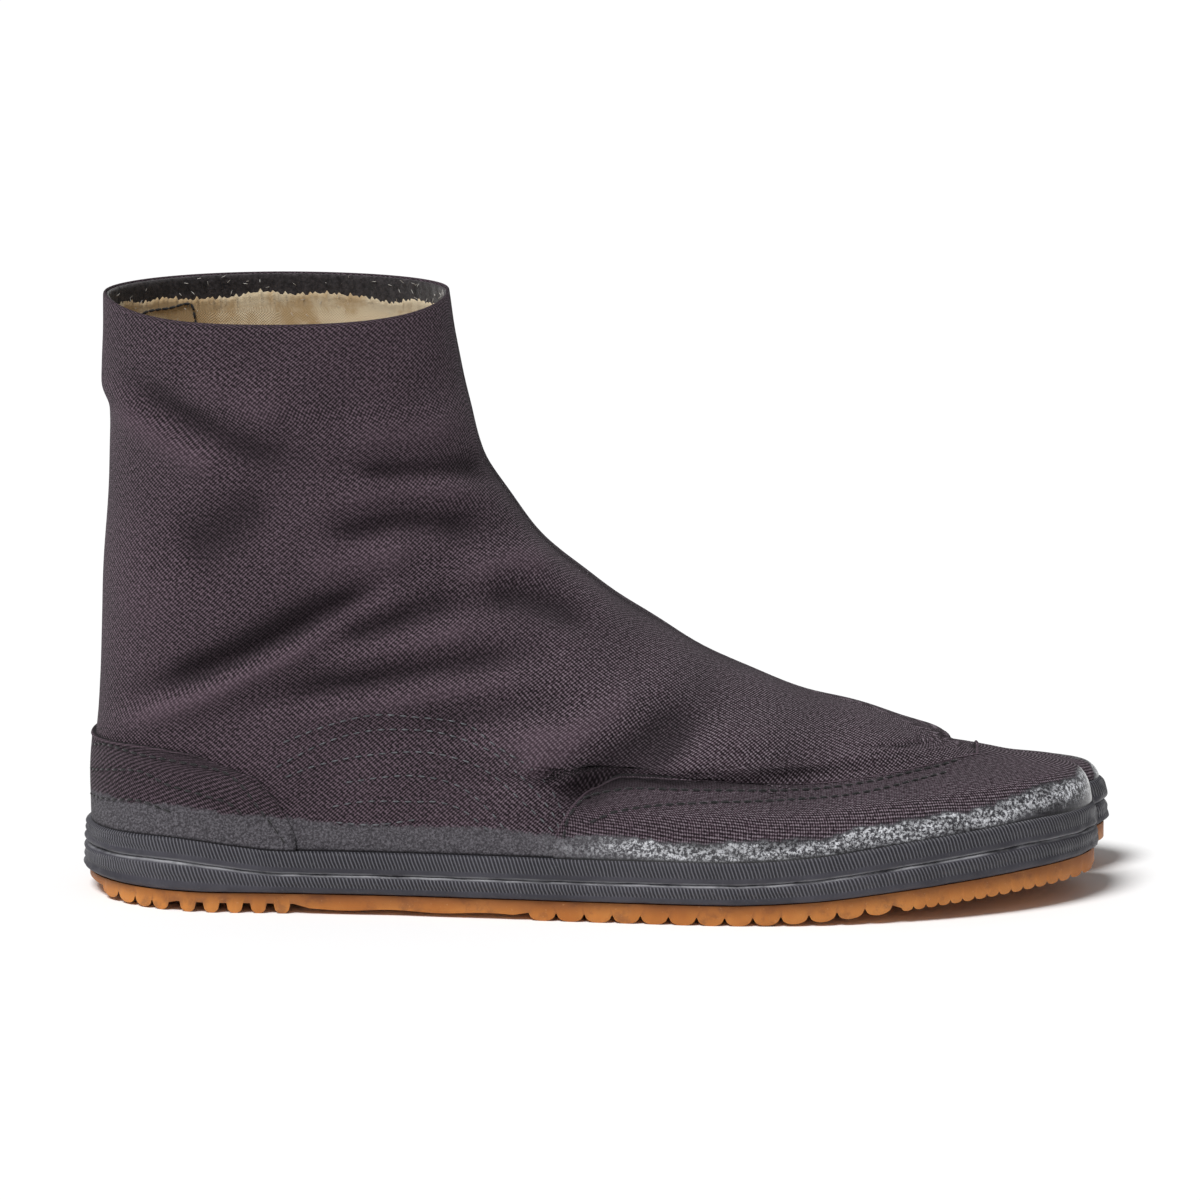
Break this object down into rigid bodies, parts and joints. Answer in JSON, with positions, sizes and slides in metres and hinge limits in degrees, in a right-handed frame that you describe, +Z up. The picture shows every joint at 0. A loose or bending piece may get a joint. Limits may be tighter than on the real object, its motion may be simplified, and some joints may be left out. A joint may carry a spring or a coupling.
{
  "type": "jika tabi",
  "caption": "Right-foot jika tabi: ankle-high canvas boot with a split toe, rubber foxing and a low-lugged gum sole.",
  "frame": {"origin": "on the floor under the middle of the shoe's bounding box", "axes": "+X from heel to toe, +Y towards the inner side of the foot, where the big toe is, +Z up"},
  "size_m": [0.2718, 0.0966, 0.1594],
  "materials": {
    "gum_rubber": "orange-brown gum rubber, satin, a little scuffed at the lugs",
    "dark_rubber": "dark grey rubber tape with a fine slanted rib, half gloss",
    "canvas": "aubergine-black cotton twill, matte",
    "cotton_lining": "unbleached cotton, matte",
    "black_tape": "black brushed tape, matte and linty"
  },
  "bodies": {
    "root": {"outsole": "gum_rubber", "insole": "cotton_lining", "upper": "canvas", "foxing_lower": "dark_rubber", "foxing_upper": "dark_rubber", "heel_counter": "canvas", "toe_guard": "canvas", "collar_facing": "black_tape"}
  },
  "joints": []
}
